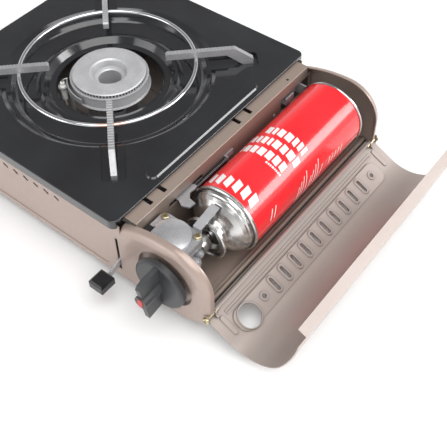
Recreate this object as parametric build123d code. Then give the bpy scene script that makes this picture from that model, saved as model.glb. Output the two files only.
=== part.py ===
from build123d import *
import os
from math import acos, cos, degrees, hypot, radians, sin, tan

# Portable butane cartridge stove. Millimetres, +Z up, +X towards the cartridge
# bay, +Y towards the back. While modelling, the burner axis is X = Y = 0 and the
# table is Z = 0; the last section moves everything to the final origin, the
# centre of the bottom of the whole stove's box with its cover open.

# ---------------------------------------------------------------- sheet and fits
SHEET = 0.8            # painted steel panels
ENAMEL_SHEET = 0.9     # enamelled top plate
BRACKET_SHEET = 1.6    # plated steel brackets, lever and carriage
RUNNING = 0.06         # radial clearance of a pin or shaft in its bore
SLIDE_GAP = 0.5        # clearance of a piece that slides past another
COVER_GAP = 0.5        # closed cover to the rims of the end panels
STACK_GAP = 0.3        # gap between neighbours that only lie side by side

# ---------------------------------------------------------------- body
BODY_LEFT = 129.0      # burner axis to the outside of the left panel
BODY_DEPTH = 259.0     # outside of the front panel to outside of the rear panel
FOOT_HEIGHT = 12.0
FOOT_R = 8.5
FOOT_INSET = 22.0
PLATE_TOP = 88.3       # flat top of the enamelled plate above the table
PANEL_BAND_TOP = 81.5  # top of the panels under the plate's turned edge
FIELD_BOTTOM = 17.0    # field pressed into the front panel
FIELD_TOP = 57.0
FIELD_DEPTH = 0.6
FIELD_WALL = 0.8       # how far the field's inner bump reaches beyond it
VENT_PITCH = 12.7
VENT_Z = 65.0

# ---------------------------------------------------------------- top plate
PLATE_HALF_X = 130.3
PLATE_OVERHANG = 4.2   # plate edge beyond the front and rear panels
PLATE_SKIRT = 9.0      # turned-down edge
PLATE_CORNER_R = 7.0
BOWL_R = 100.5         # outer edge of the drip bowl
BOWL_LEDGE_R = 92.0
BOWL_FLOOR_R = 87.5
BOWL_RIDGE_R = 63.0
BOWL_HOLE_R = 50.0
BOWL_LEDGE_DROP = 3.4
BOWL_FLOOR_DROP = 8.6
BOWL_RIDGE_DROP = 6.2
BOWL_CENTRE_DROP = 11.8
POCKET_WIDTH = 21.0    # recess under each pan-support arm
POCKET_END_R = 141.0
POCKET_DEPTH = 3.2
RIB_X = 119.0          # long rib beside the cartridge bay
RIB_WIDTH = 12.0
RIB_Y0 = -80.0
RIB_Y1 = 69.0
RIB_HEIGHT = 1.3

# ---------------------------------------------------------------- pan support
RING_R = 82.0          # radius of the ring's wire centre
RING_WIRE_R = 2.0
RING_Z = 96.7
ARM_TOP = 104.0
ARM_WIDTH = 5.2
ARM_DEPTH = 6.8        # height of the bar where it crosses the ring
ARM_INNER_R = 54.0
ARM_BEND_R = 119.0
ARM_OUTER_R = 136.5
ARM_TIP_HEIGHT = 5.6
ARM_TOOTH_PITCH = 3.2
ARM_TOOTH_DEPTH = 0.3
ARM_TOOTH_COUNT = 19

# ---------------------------------------------------------------- burner
CAP_R = 35.0
CAP_EDGE_Z = 86.0
CAP_TOP_Z = 89.8
CAP_WELL_R = 17.5
CAP_WELL_Z = 81.5
THROAT_R = 11.0
PORT_COUNT = 72
PORT_WIDTH = 1.8
PORT_HEIGHT = 2.2
PORT_DEPTH = 5.0
HEAD_RIM_R = 36.4
HEAD_FOOT_R = 38.5
HEAD_FOOT_Z = 73.5
HEAD_BOTTOM_Z = 62.0
TUBE_R = 8.0           # mixing tube outside radius
TUBE_WALL = 1.2
TUBE_Z = 34.0
TUBE_END_R = 22.5      # where the tube rises into the head, off the burner axis
JET_X = 118.0
JET_Y = -82.0
GAS_PIPE_R = 2.6
BRACKET_WIDTH = 18.0
BRACKET_RAIL = 3.0     # strip left on each side of the bracket's window
BRACKET_LEG_Y = 25.0
BRACKET_FOOT_Y = 34.0
SCREW_R = 1.8
LEAD_R = 1.3
ELECTRODE_R = 44.5     # electrode off the burner axis
ELECTRODE_ANGLE = 230.0
CERAMIC_R = 3.0

# ---------------------------------------------------------------- cartridge bay
BAY_WALL_X = 142.8     # bay side of the partition wall
FLANGE_Z = 85.9        # top of the partition's flange
FLANGE_LEFT_X = 129.4
BAY_FLOOR_Z = 19.8
BAY_FLOOR_RIGHT = 204.0
ROLL_X = 207.7         # rolled edge along the hinge side
ROLL_R = 2.4
ROLL_TOP = 25.9
SIDE_X = 221.0         # right-hand side of the end panels
LOW_CORNER_X = 196.0   # where the underside starts to slope up to the right
LOW_CORNER_RISE = 13.5  # height of that slope at the side
HUMP_X = 186.0         # highest point of the end panels
HUMP_Z = 91.5
CORNER_R = 35.0        # large rounding from the top to the side
HUMP_START_X = 131.0   # where the end panels rise beside the plate
HUMP_START_Z = 79.5
PANEL_RIM = 8.0        # rim turned inwards along the end panels' outline
HUMP_EDGE_R = 7.0      # outside rounding between an end panel's hump and its rim
NOTCH_WIDTH = 4.2
NOTCH_REACH = 8.2

# ---------------------------------------------------------------- cover
HINGE_X = 219.0
HINGE_Z = 30.2
OPEN_ANGLE = 117.0
COVER_END = 127.9      # half length of the cover
COVER_LEFT_X = 143.5   # outer face of the hem when closed
HEM = 9.0
HEM_FRONT = 11.0       # hem's front end, in from the cover's end
CURL_R = 3.3
CURL_HALF = 119.0      # half length of the rolled hinge edge
HINGE_PIN_R = 1.5
SLOT_COUNT = 10
SLOT_PITCH = 15.4
SLOT_FIRST_Y = -61.5
SLOT_LOW_Z = 44.5      # lower end of the vent slots when closed
SLOT_LENGTH = 13.5
SLOT_WIDTH = 3.6
COVER_FIELD_Y0 = -112.0  # field pressed round the slots and holes, when closed
COVER_FIELD_Y1 = 108.0
COVER_FIELD_Z0 = 41.6
COVER_FIELD_Z1 = 63.0
COVER_FIELD_R = 9.0
COVER_FIELD_DEPTH = 1.2
COVER_HOLE_R = 10.7
COVER_HOLE_Y = -98.5
COVER_HOLE_Z = 53.3
SMALL_HOLE_R = 2.3
SMALL_HOLE_Z = 51.5
SMALL_HOLE_Y = (-76.5, 94.5)

# ---------------------------------------------------------------- cartridge
CAN_X = 179.2
CAN_Z = 55.8
CAN_R = 33.0
CAN_WALL = 0.4
CAN_FRONT_Y = -53.0
CAN_LENGTH = 160.0
SEAM_R = 34.0          # rolled seams at both ends
SEAM_LENGTH = 2.6
COLLAR_R = 21.0
COLLAR_Y = -78.0       # back face of the collar ring
COLLAR_THICK = 3.4
NECK_R = 15.5
STEM_R = 2.0
STEM_TIP_Y = -89.0

# ---------------------------------------------------------------- governor
GOV_X = 166.5
GOV_Y = -107.5
GOV_PLATE_X = 43.0
GOV_PLATE_Y = 34.0
GOV_PLATE_Z = 72.0     # underside of the square cap plate
GOV_PLATE_THICK = 3.6
DOME_R = 16.8
DOME_WALL = 1.8        # upright rim of the shallow dome
DOME_RISE = 2.6
GOV_SCREW_R = 2.0
GOV_SCREW_INSET = 4.6
SOCKET_R = 8.6
SOCKET_BORE_R = 4.6
SOCKET_NECK_R = 6.0
SOCKET_NECK = 2.5      # depth of the socket's neck in the governor
SEAL_BORE_R = 2.3
SOCKET_FRONT = -82.8

# ---------------------------------------------------------------- knob
KNOB_X = 176.8
KNOB_Z = 50.7
KNOB_R = 24.8
KNOB_FACE_Y = -137.9
KNOB_THICK = 7.0
RECESS_R = 28.0
RECESS_DEPTH = 3.6
SPINDLE_R = 3.0
GRIP_WIDTH = 4.6
GRIP_RISE = 20.0
HUB_R = 6.0
HUB_PROUD = 1.6        # hub's front beyond the fin's front edge
INDICATOR_LENGTH = 9.0
INDICATOR_WIDTH = 5.0

# ---------------------------------------------------------------- locking lever
LEVER_X = 125.4
LEVER_PIVOT_Y = -96.0
LEVER_PIVOT_Z = 45.0
LEVER_ANGLE = 21.8     # below horizontal when locked
LEVER_SWING = 36.0
LEVER_BAR = 6.0
LEVER_TIP_FRONT = -160.0
LEVER_TIP_BACK = -143.8
LEVER_TIP_WIDTH = 15.6
LEVER_TIP_BOTTOM = 21.2
LEVER_TIP_TOP = 32.0
LEVER_SLOT_BOTTOM = 22.0
LEVER_SLOT_TOP = 63.0
LEVER_PIN_R = 2.0
CRANK_LENGTH = 13.0
CRANK_PIN_R = 1.5
CARRIAGE_X = 134.6     # burner side of the sliding bar
CARRIAGE_BOTTOM = 58.0
CARRIAGE_TOP = 66.0
GUIDE_PIN_R = 1.8
GUIDE_PIN_Y = (-30.0, 68.0)
GUIDE_PIN_Z = 62.0
HOOK_Z = 70.4
SPRING_X = 145.4
SPRING_Z = 68.4
SPRING_R = 1.8
SPRING_WIRE_R = 0.45
SPRING_FRONT_Y = -50.2
SPRING_BACK_Y = -8.5

# ---------------------------------------------------------------- worked out
PANEL_Y = BODY_DEPTH / 2               # outer faces of the front and rear panels
PANEL_IN = PANEL_Y - SHEET             # inner faces
RIM_IN = PANEL_Y - PANEL_RIM           # inner edges of the end panels' rims
TRAY_BOTTOM = FOOT_HEIGHT + SHEET      # the tray lies on the panels' bottom flanges
TRAY_TOP = TRAY_BOTTOM + SHEET
PLATE_Y = PANEL_Y + PLATE_OVERHANG
PLATE_UNDER = PLATE_TOP - ENAMEL_SHEET
TOP_ARC_R = ((HUMP_X - HUMP_START_X) ** 2 + (HUMP_Z - HUMP_START_Z) ** 2) / (2 * (HUMP_Z - HUMP_START_Z))
SIDE_TOP_Z = HUMP_Z - CORNER_R         # end of the straight side
CORNER_X = SIDE_X - CORNER_R           # centre of the large rounding
CAN_BACK_Y = CAN_FRONT_Y + CAN_LENGTH
CAN_END_Y = CAN_BACK_Y + SEAM_LENGTH
WALL_X = BAY_WALL_X - SHEET            # burner side of the partition wall
FLANGE_UNDER = FLANGE_Z - SHEET
LOW_SLOPE = LOW_CORNER_RISE / (SIDE_X - LOW_CORNER_X)
SLOPE_SHEET = SHEET * hypot(1, LOW_SLOPE)  # upright thickness of a sloping sheet
SILL_X = ROLL_X + ROLL_R + 2.0         # outside of the sill under the hinge line
RIM_LOW_Z = HINGE_Z + CURL_R + 1.5     # the rim stops above the rolled hinge edge
GOV_TOP = GOV_PLATE_Z + GOV_PLATE_THICK
POCKET_FLOOR = PLATE_TOP - POCKET_DEPTH
FIELD_LEFT = -BODY_LEFT + 5
FIELD_RIGHT = LEVER_X - 12.4
LEVER_SLOT_WIDTH = BRACKET_SHEET + 2 * SLIDE_GAP + 0.4
CRANK_HALF_SWING = radians(LEVER_SWING / 2)
CARRIAGE_TRAVEL = 2 * CRANK_LENGTH * sin(CRANK_HALF_SWING)
TUBE_DIR = (JET_X / hypot(JET_X, JET_Y), JET_Y / hypot(JET_X, JET_Y))
GAS_HOLE_Y = WALL_X * TUBE_DIR[1] / TUBE_DIR[0]
GOV_LEFT = GOV_X - GOV_PLATE_X / 2
GOV_RIGHT = GOV_X + GOV_PLATE_X / 2
GOV_FRONT = GOV_Y - GOV_PLATE_Y / 2
GOV_BACK = GOV_Y + GOV_PLATE_Y / 2
GOV_BODY_BACK = GOV_BACK - 1.5



# ---------------------------------------------------------------- helpers
def block(x0, x1, y0, y1, z0, z1):
    """A box from its lowest and highest coordinates."""
    return Pos((x0 + x1) / 2, (y0 + y1) / 2, (z0 + z1) / 2) * Box(x1 - x0, y1 - y0, z1 - z0)


def rod_x(y, z, r, x0, x1):
    return Pos((x0 + x1) / 2, y, z) * Rot(0, 90, 0) * Cylinder(r, x1 - x0)


def rod_y(x, z, r, y0, y1):
    return Pos(x, (y0 + y1) / 2, z) * Rot(90, 0, 0) * Cylinder(r, y1 - y0)


def rod_z(x, y, r, z0, z1):
    return Pos(x, y, (z0 + z1) / 2) * Cylinder(r, z1 - z0)


def plate_xz(points, y0, y1):
    """A prism along Y from an outline of (x, z) points."""
    face = make_face(Polyline([(x, y0, z) for x, z in points], close=True))
    return extrude(face, amount=y1 - y0, dir=(0, 1, 0))


def plate_yz(points, x0, x1):
    """A prism along X from an outline of (y, z) points."""
    face = make_face(Polyline([(x0, y, z) for y, z in points], close=True))
    return extrude(face, amount=x1 - x0, dir=(1, 0, 0))


def plate_xy(points, z0, z1):
    """A prism along Z from an outline of (x, y) points."""
    face = make_face(Polyline([(x, y, z0) for x, y in points], close=True))
    return extrude(face, amount=z1 - z0, dir=(0, 0, 1))


def turned_z(points):
    """A body of revolution about the burner axis from (radius, z) points."""
    face = make_face(Polyline([(r, 0, z) for r, z in points], close=True))
    return revolve(face, axis=Axis.Z)


def turned_y(x, z, points):
    """A body of revolution about a Y line through (x, z) from (y, radius) points."""
    face = make_face(Polyline([(x + r, y, z) for y, r in points], close=True))
    return revolve(face, axis=Axis((x, 0, z), (0, 1, 0)))


def stadium_xz(x, z, length, width, y0, y1, angle=0.0):
    """A slot-shaped prism along Y, long side turned by angle from X."""
    face = Plane.XZ * SlotOverall(length, width)
    prism = extrude(face, amount=y1 - y0, dir=(0, 1, 0))
    return Pos(x, y0, z) * Rot(0, -angle, 0) * prism


def screw_head(radius, height):
    """A pan head with a cross recess, standing on Z = 0."""
    head = Cylinder(radius, height, align=(Align.CENTER, Align.CENTER, Align.MIN))
    head = fillet(head.edges().group_by(Axis.Z)[-1], height * 0.6)
    slot = Pos(0, 0, height) * Box(radius * 1.1, radius * 0.24, height)
    return head - slot - Rot(0, 0, 90) * slot


def bend_radii(points):
    """For each corner, the largest arc that takes 0.45 of its shorter run."""
    radii = []
    for a, b, c in zip(points, points[1:], points[2:]):
        first = Vector(*b) - Vector(*a)
        second = Vector(*c) - Vector(*b)
        turn = radians(first.get_angle(second))
        radii.append(0.45 * min(first.length, second.length) / tan(turn / 2))
    return radii


def pipe(points, radius, wall=None):
    """A round tube or wire along straight runs joined by tangent arcs."""
    path = FilletPolyline(*points, radius=bend_radii(points)) if len(points) > 2 else Line(*points)
    section = Circle(radius)
    if wall:
        section = section - Circle(radius - wall)
    return sweep(Plane(origin=path @ 0, z_dir=path % 0) * section, path=path)


def arc_points(cx, cz, r, a0, a1):
    """Start, middle and end of an arc in the XZ plane, angles in degrees."""
    middle = (a0 + a1) / 2
    return [(cx + r * cos(radians(a)), cz + r * sin(radians(a))) for a in (a0, middle, a1)]


def hump_edges(offset, left_x, bottom_z, y):
    """The end panels' outline from low on the right side to left_x on top,
    as edges at depth y, moved outwards by offset."""
    r1 = CORNER_R + offset
    r2 = TOP_ARC_R + offset
    centre2 = HUMP_Z - TOP_ARC_R
    a_end = degrees(acos((left_x - HUMP_X) / r2))
    p, q, s = arc_points(CORNER_X, SIDE_TOP_Z, r1, 0, 90)
    t, u, w = arc_points(HUMP_X, centre2, r2, 90, a_end)
    side = Line((SIDE_X + offset, y, bottom_z), (p[0], y, p[1]))
    corner = ThreePointArc(*[(a, y, b) for a, b in (p, q, s)])
    top = ThreePointArc(*[(a, y, b) for a, b in (t, u, w)])
    flat = [] if abs(CORNER_X - HUMP_X) < 1e-6 else [Line((s[0], y, s[1]), (t[0], y, t[1]))]
    return [side, corner] + flat + [top], (SIDE_X + offset, bottom_z), w


def hump_band(outer, inner, left_x, bottom_z, y0, y1):
    """A band that follows the outline between two offsets, as a prism along Y."""
    e1, b1, t1 = hump_edges(outer, left_x, bottom_z, y0)
    e2, b2, t2 = hump_edges(inner, left_x, bottom_z, y0)
    ends = [
        Line((b1[0], y0, b1[1]), (b2[0], y0, b2[1])),
        Line((t1[0], y0, t1[1]), (t2[0], y0, t2[1])),
    ]
    return extrude(make_face(e1 + e2 + ends), amount=y1 - y0, dir=(0, 1, 0))


def mirror_y(shape):
    return mirror(shape, about=Plane.XZ)


# ---------------------------------------------------------------- body panels
def rounded_hump(offset, y0, y1, radius, left_x, bottom_z):
    """The hump as a solid whose outline is rounded over on its y0 side."""
    edges, low, top = hump_edges(offset, left_x, bottom_z, y0)
    close = [
        Line((top[0], y0, top[1]), (top[0], y0, bottom_z)),
        Line((top[0], y0, bottom_z), (low[0], y0, bottom_z)),
    ]
    solid = extrude(make_face(edges + close), amount=y1 - y0, dir=(0, 1, 0))
    front = solid.edges().group_by(Axis.Y)[0]
    outline = [e for e in front if e.center().Z > bottom_z + 0.01 and e.center().X > left_x + 0.01]
    return fillet(outline, radius)


def sloping_sheet(z, y0, y1):
    """The part of a bottom sheet that slopes up towards the hinge side."""
    z_end = z + (SILL_X - LOW_CORNER_X) * LOW_SLOPE
    return plate_xz(
        [(LOW_CORNER_X, z), (SILL_X, z_end), (SILL_X, z_end + SLOPE_SHEET), (LOW_CORNER_X, z + SLOPE_SHEET)], y0, y1,
    )


def make_end_panel():
    """The front panel's common shape: one sheet from the left corner to the
    hump, whose edge rolls over into a rim turned inwards."""
    panel = block(-BODY_LEFT, HUMP_START_X, -PANEL_Y, -PANEL_IN, FOOT_HEIGHT, PANEL_BAND_TOP)
    panel += block(HUMP_START_X, SIDE_X, -PANEL_Y, -PANEL_IN, FOOT_HEIGHT, RIM_LOW_Z)
    outer = rounded_hump(0, -PANEL_Y, -RIM_IN, HUMP_EDGE_R, HUMP_START_X, RIM_LOW_Z)
    inner = rounded_hump(-SHEET, -PANEL_IN, -RIM_IN + 1, HUMP_EDGE_R - SHEET, HUMP_START_X - 1, RIM_LOW_Z - 1)
    panel += outer - inner
    panel -= plate_xz(
        [(LOW_CORNER_X, FOOT_HEIGHT), (SIDE_X + 5, FOOT_HEIGHT + 5 * LOW_SLOPE + LOW_CORNER_RISE),
         (SIDE_X + 5, FOOT_HEIGHT)],
        -PANEL_Y - 1, -PANEL_IN + 1,
    )
    panel += block(-BODY_LEFT + SHEET, LOW_CORNER_X, -PANEL_Y, -RIM_IN, FOOT_HEIGHT, TRAY_BOTTOM)
    panel += sloping_sheet(FOOT_HEIGHT, -PANEL_Y, -RIM_IN)
    hole = rod_y(HINGE_X, HINGE_Z, HINGE_PIN_R + RUNNING, -PANEL_Y - 3, -PANEL_IN + 3)
    return panel - hole


def make_front_panel():
    panel = make_end_panel()
    panel += pressed_field(FIELD_WALL, -PANEL_IN - 0.2, FIELD_DEPTH + 0.2)
    panel -= pressed_field(0, -PANEL_Y, FIELD_DEPTH)
    panel += rod_y(KNOB_X, KNOB_Z, RECESS_R + SHEET, -PANEL_Y, -PANEL_IN + RECESS_DEPTH)
    panel -= rod_y(KNOB_X, KNOB_Z, RECESS_R, -PANEL_Y - 3, -PANEL_IN + RECESS_DEPTH - SHEET)
    panel -= rod_y(KNOB_X, KNOB_Z, SPINDLE_R + 3, -PANEL_Y, 0)
    panel -= block(
        LEVER_X - LEVER_SLOT_WIDTH / 2, LEVER_X + LEVER_SLOT_WIDTH / 2, -PANEL_Y - 3, -PANEL_IN + 3,
        LEVER_SLOT_BOTTOM, LEVER_SLOT_TOP,
    )
    for k in range(-5, 5):
        panel -= stadium_xz((k + 0.5) * VENT_PITCH, VENT_Z, 6.2, 2.9, -PANEL_Y - 1, -PANEL_IN + 1, -30)
    return panel


def pressed_field(grow, y, depth):
    """The field pressed into the panel's lower part, a tapered slab from y inwards."""
    width = FIELD_RIGHT - FIELD_LEFT + 2 * grow
    height = FIELD_TOP - FIELD_BOTTOM + 2 * grow
    slab = extrude(RectangleRounded(width, height, 7 + grow), amount=depth, taper=30)
    return Pos((FIELD_LEFT + FIELD_RIGHT) / 2, y, (FIELD_BOTTOM + FIELD_TOP) / 2) * Rot(-90, 0, 0) * slab


def make_rear_panel():
    panel = mirror_y(make_end_panel())
    for k in range(-6, 7):
        panel -= stadium_xz(k * 14.0, 62.0, 16.0, 3.4, PANEL_IN - 1, PANEL_Y + 1, 90)
    return panel


def make_left_panel():
    x0 = -BODY_LEFT
    panel = block(x0, x0 + SHEET, -PANEL_IN, PANEL_IN, FOOT_HEIGHT, PANEL_BAND_TOP)
    for k in range(-4, 5):
        slot = Pos(x0, k * 18.0, 60.0) * Rot(0, 90, 0) * extrude(SlotOverall(16, 3.4), amount=2, both=True)
        panel -= slot
    return panel


def make_base_tray():
    """The floor under the burner, with stiffening ribs and a drop flange."""
    x0 = -BODY_LEFT + SHEET
    x1 = WALL_X
    tray = block(x0, x1, -PANEL_IN, PANEL_IN, TRAY_BOTTOM, TRAY_TOP)
    for y in (-70, 0, 70):
        tray += Pos(0, y, TRAY_TOP) * extrude(SlotOverall(180, 9), amount=1.2, taper=20)
    for y in (-BRACKET_FOOT_Y, BRACKET_FOOT_Y):
        tray -= rod_z(0, y, SCREW_R + 0.2, 0, TRAY_TOP + 2)
    return tray


def make_partition():
    """The wall between burner side and bay, with the flange that carries the plate."""
    wall = block(WALL_X, BAY_WALL_X, -PANEL_IN, PANEL_IN, TRAY_BOTTOM, FLANGE_Z)
    flange_end = RIM_IN - STACK_GAP
    flange = block(FLANGE_LEFT_X, BAY_WALL_X, -flange_end, flange_end, FLANGE_UNDER, FLANGE_Z)
    part = wall + flange
    part = fillet(part.edges().filter_by(Axis.Y).sort_by(lambda e: -(e.center().X + e.center().Z))[:1], 0.7)
    for y in (-97, -80, 21, 37.5):
        part -= block(FLANGE_LEFT_X - 1, FLANGE_LEFT_X + NOTCH_REACH + 0.8, y - NOTCH_WIDTH / 2,
                      y + NOTCH_WIDTH / 2, FLANGE_UNDER - 1, FLANGE_Z + 1)
    part -= rod_z(138.2, 94, 1.3, FLANGE_UNDER - 1, FLANGE_Z + 1)
    # the end panels' rolled edges and rims pass through the wall's upper corners
    roll_low = HUMP_Z - TOP_ARC_R + (TOP_ARC_R ** 2 - (HUMP_X - WALL_X) ** 2) ** 0.5 - HUMP_EDGE_R - STACK_GAP
    for y0, y1 in ((-PANEL_Y, -flange_end), (flange_end, PANEL_Y)):
        part -= block(WALL_X - 1, BAY_WALL_X + 1, y0, y1, roll_low, FLANGE_Z + 1)
    # windows for the carriage's hook and pusher, and holes for gas pipe and lead
    part -= block(WALL_X - 2, BAY_WALL_X + 2, -82, -38, 69.3, 74.2)
    part -= block(WALL_X - 2, BAY_WALL_X + 2, 78, 124, 59.0, 74.2)
    part -= rod_x(GAS_HOLE_Y, TUBE_Z, GAS_PIPE_R + 2.5, WALL_X - 2, BAY_WALL_X + 2)
    part -= rod_x(LEAD_ROUTE[0][1], LEAD_ROUTE[0][2], LEAD_R + 1.5, WALL_X - 2, BAY_WALL_X + 2)
    for y in GUIDE_PIN_Y:
        part -= rod_x(y, GUIDE_PIN_Z, GUIDE_PIN_R, WALL_X - 2, BAY_WALL_X + 2)
    return part


def make_bay_floor():
    """The bay's floor with two pressed ribs and the rolled edge on the hinge side."""
    length = PANEL_IN
    floor = block(BAY_WALL_X, BAY_FLOOR_RIGHT, -length, length, BAY_FLOOR_Z - SHEET, BAY_FLOOR_Z)
    floor += block(BAY_FLOOR_RIGHT - SHEET, BAY_FLOOR_RIGHT, -length, length, BAY_FLOOR_Z - SHEET,
                   ROLL_TOP - ROLL_R)
    roll_z = ROLL_TOP - ROLL_R
    floor += block(BAY_FLOOR_RIGHT - SHEET, ROLL_X, -length, length, roll_z - SHEET / 2, roll_z + SHEET / 2)
    floor += rod_y(ROLL_X, roll_z, ROLL_R, -length, length)
    for x in (152.0, 200.0):
        rib = Pos(x, -98, BAY_FLOOR_Z) * Rot(0, 0, 90) * extrude(SlotOverall(34, 6), amount=0.9, taper=25)
        floor += rib
    floor += Pos(176, 40, BAY_FLOOR_Z) * extrude(RectangleRounded(30, 120, 6), amount=0.9, taper=25)
    return floor


def make_side_sill():
    """The low outer wall under the hinge line and the sloping sheet below it."""
    bottom = FOOT_HEIGHT + SLOPE_SHEET
    z_end = bottom + (SILL_X - LOW_CORNER_X) * LOW_SLOPE
    sill = block(SILL_X - SHEET, SILL_X, -PANEL_IN, PANEL_IN, z_end, ROLL_TOP - 2)
    sill += sloping_sheet(bottom, -PANEL_IN, PANEL_IN)
    return sill + block(BAY_FLOOR_RIGHT - 30, LOW_CORNER_X, -PANEL_IN, PANEL_IN, TRAY_BOTTOM, TRAY_TOP + 0.1)


def make_feet():
    feet = []
    for x in (-BODY_LEFT + FOOT_INSET, ROLL_X - FOOT_INSET):
        for y in (-PANEL_Y + FOOT_INSET, PANEL_Y - FOOT_INSET):
            outline = [(0, 0), (FOOT_R - 1.5, 0), (FOOT_R, 1.5), (FOOT_R - 1, TRAY_BOTTOM), (0, TRAY_BOTTOM)]
            foot = turned_z(outline)
            feet.append(Pos(x, y, 0) * foot)
    return Compound(children=feet)


# ---------------------------------------------------------------- top plate
def make_top_plate():
    """The enamelled plate with drip bowl, four arm pockets and a long rib."""
    t = ENAMEL_SHEET
    outer = extrude(RectangleRounded(2 * PLATE_HALF_X, 2 * PLATE_Y, PLATE_CORNER_R), amount=PLATE_SKIRT)
    inner = extrude(
        RectangleRounded(2 * (PLATE_HALF_X - t), 2 * (PLATE_Y - t), PLATE_CORNER_R - 2),
        amount=PLATE_SKIRT - t,
    )
    plate = Pos(0, 0, PLATE_TOP - PLATE_SKIRT) * (outer - inner)
    plate = fillet(plate.edges().group_by(Axis.Z)[-1], 0.85)
    # the right edge only reaches the partition's flange
    clear_x = FLANGE_LEFT_X - STACK_GAP
    plate -= block(clear_x, PLATE_HALF_X + 1, -PLATE_Y - 1, PLATE_Y + 1, PLATE_TOP - 20, FLANGE_Z)
    plate -= rod_z(0, 0, BOWL_R - 0.2, PLATE_UNDER - 5, PLATE_TOP + 5)
    top_line = [
        (BOWL_R, PLATE_TOP),
        (BOWL_R - 3.6, PLATE_TOP - BOWL_LEDGE_DROP + 0.5),
        (BOWL_R - 5.0, PLATE_TOP - BOWL_LEDGE_DROP),
        (BOWL_LEDGE_R, PLATE_TOP - BOWL_LEDGE_DROP - 0.3),
        (BOWL_FLOOR_R + 1.0, PLATE_TOP - BOWL_FLOOR_DROP + 1.2),
        (BOWL_FLOOR_R - 1.0, PLATE_TOP - BOWL_FLOOR_DROP),
        (BOWL_RIDGE_R + 6.5, PLATE_TOP - BOWL_FLOOR_DROP - 0.5),
        (BOWL_RIDGE_R + 4.0, PLATE_TOP - BOWL_FLOOR_DROP + 0.2),
        (BOWL_RIDGE_R + 1.5, PLATE_TOP - BOWL_RIDGE_DROP),
        (BOWL_RIDGE_R - 1.5, PLATE_TOP - BOWL_RIDGE_DROP),
        (BOWL_RIDGE_R - 6.0, PLATE_TOP - BOWL_CENTRE_DROP),
        (BOWL_HOLE_R + 1.5, PLATE_TOP - BOWL_CENTRE_DROP - 0.4),
        (BOWL_HOLE_R, PLATE_TOP - BOWL_CENTRE_DROP + 0.6),
    ]
    under = [(r, z - t) for r, z in reversed(top_line)]
    plate += turned_z(top_line + under)
    for k in range(4):
        plate = add_pocket(plate, 45 + 90 * k)
    rib_y = (RIB_Y0 + RIB_Y1) / 2
    rib = SlotOverall(RIB_Y1 - RIB_Y0, RIB_WIDTH)
    plate += Pos(RIB_X, rib_y, PLATE_TOP) * Rot(0, 0, 90) * extrude(rib, amount=RIB_HEIGHT, taper=45)
    return plate


def add_pocket(plate, angle):
    """Press the recess for one pan-support arm into the plate."""
    t = ENAMEL_SHEET
    start = BOWL_LEDGE_R + 1.5
    length = POCKET_END_R - start
    middle = (POCKET_END_R + start) / 2
    shell = Pos(middle, 0, POCKET_FLOOR - t) * extrude(
        RectangleRounded(length + 2 * t, POCKET_WIDTH + 2 * t, 5.5), amount=PLATE_TOP - POCKET_FLOOR + t - 0.05
    )
    space = Pos(middle - 3, 0, POCKET_FLOOR) * extrude(
        RectangleRounded(length + 6, POCKET_WIDTH, 4.6), amount=10
    )
    bowl_clear = turned_z([(0, 0), (start - 1, 0), (start - 1, 200), (0, 200)])
    turn = Rot(0, 0, angle)
    return plate + turn * (shell - bowl_clear) - turn * space


# ---------------------------------------------------------------- pan support
def make_pan_ring():
    return Pos(0, 0, RING_Z) * Torus(RING_R, RING_WIRE_R)


def make_pan_arm(angle, ring):
    """A toothed bar that rises from its pocket, crosses the ring and points inwards."""
    low = ARM_TOP - ARM_DEPTH
    outline = [
        (ARM_INNER_R, ARM_TOP - 1.6),
        (ARM_INNER_R + 1.6, ARM_TOP),
        (ARM_BEND_R, ARM_TOP),
        (ARM_OUTER_R, POCKET_FLOOR + ARM_TIP_HEIGHT),
        (ARM_OUTER_R, POCKET_FLOOR),
        (ARM_OUTER_R - 10, POCKET_FLOOR),
        (ARM_BEND_R - 8, low),
        (ARM_INNER_R, low),
    ]
    bar = plate_xz(outline, -ARM_WIDTH / 2, ARM_WIDTH / 2)
    teeth = []
    for k in range(ARM_TOOTH_COUNT):
        x = ARM_INNER_R + 4 + k * ARM_TOOTH_PITCH
        teeth.append(rod_y(x, ARM_TOP + 1.0, 1.0 + ARM_TOOTH_DEPTH, -ARM_WIDTH, ARM_WIDTH))
    bar = bar - Compound(children=teeth)
    return Rot(0, 0, angle) * bar - ring


# ---------------------------------------------------------------- burner
def make_burner_cap():
    cap = turned_z([
        (THROAT_R, CAP_WELL_Z - 3),
        (THROAT_R + 3, CAP_WELL_Z - 3),
        (CAP_R - 6, CAP_EDGE_Z - 2.6),
        (CAP_R, CAP_EDGE_Z - 2.6),
        (CAP_R, CAP_TOP_Z - 1.2),
        (CAP_R - 1.0, CAP_TOP_Z - 0.3),
        (CAP_R - 5, CAP_TOP_Z),
        (CAP_WELL_R + 1, CAP_TOP_Z - 0.7),
        (CAP_WELL_R - 0.5, CAP_TOP_Z - 2),
        (CAP_WELL_R - 2, CAP_WELL_Z + 1),
        (THROAT_R + 1, CAP_WELL_Z),
        (THROAT_R, CAP_WELL_Z - 0.8),
    ])
    ports = []
    for k in range(PORT_COUNT):
        port = Pos(CAP_R, 0, CAP_EDGE_Z + PORT_HEIGHT / 2) * Box(2 * PORT_DEPTH, PORT_WIDTH, PORT_HEIGHT)
        ports.append(Rot(0, 0, 360 / PORT_COUNT * k) * port)
    return cap - Compound(children=ports)


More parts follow.
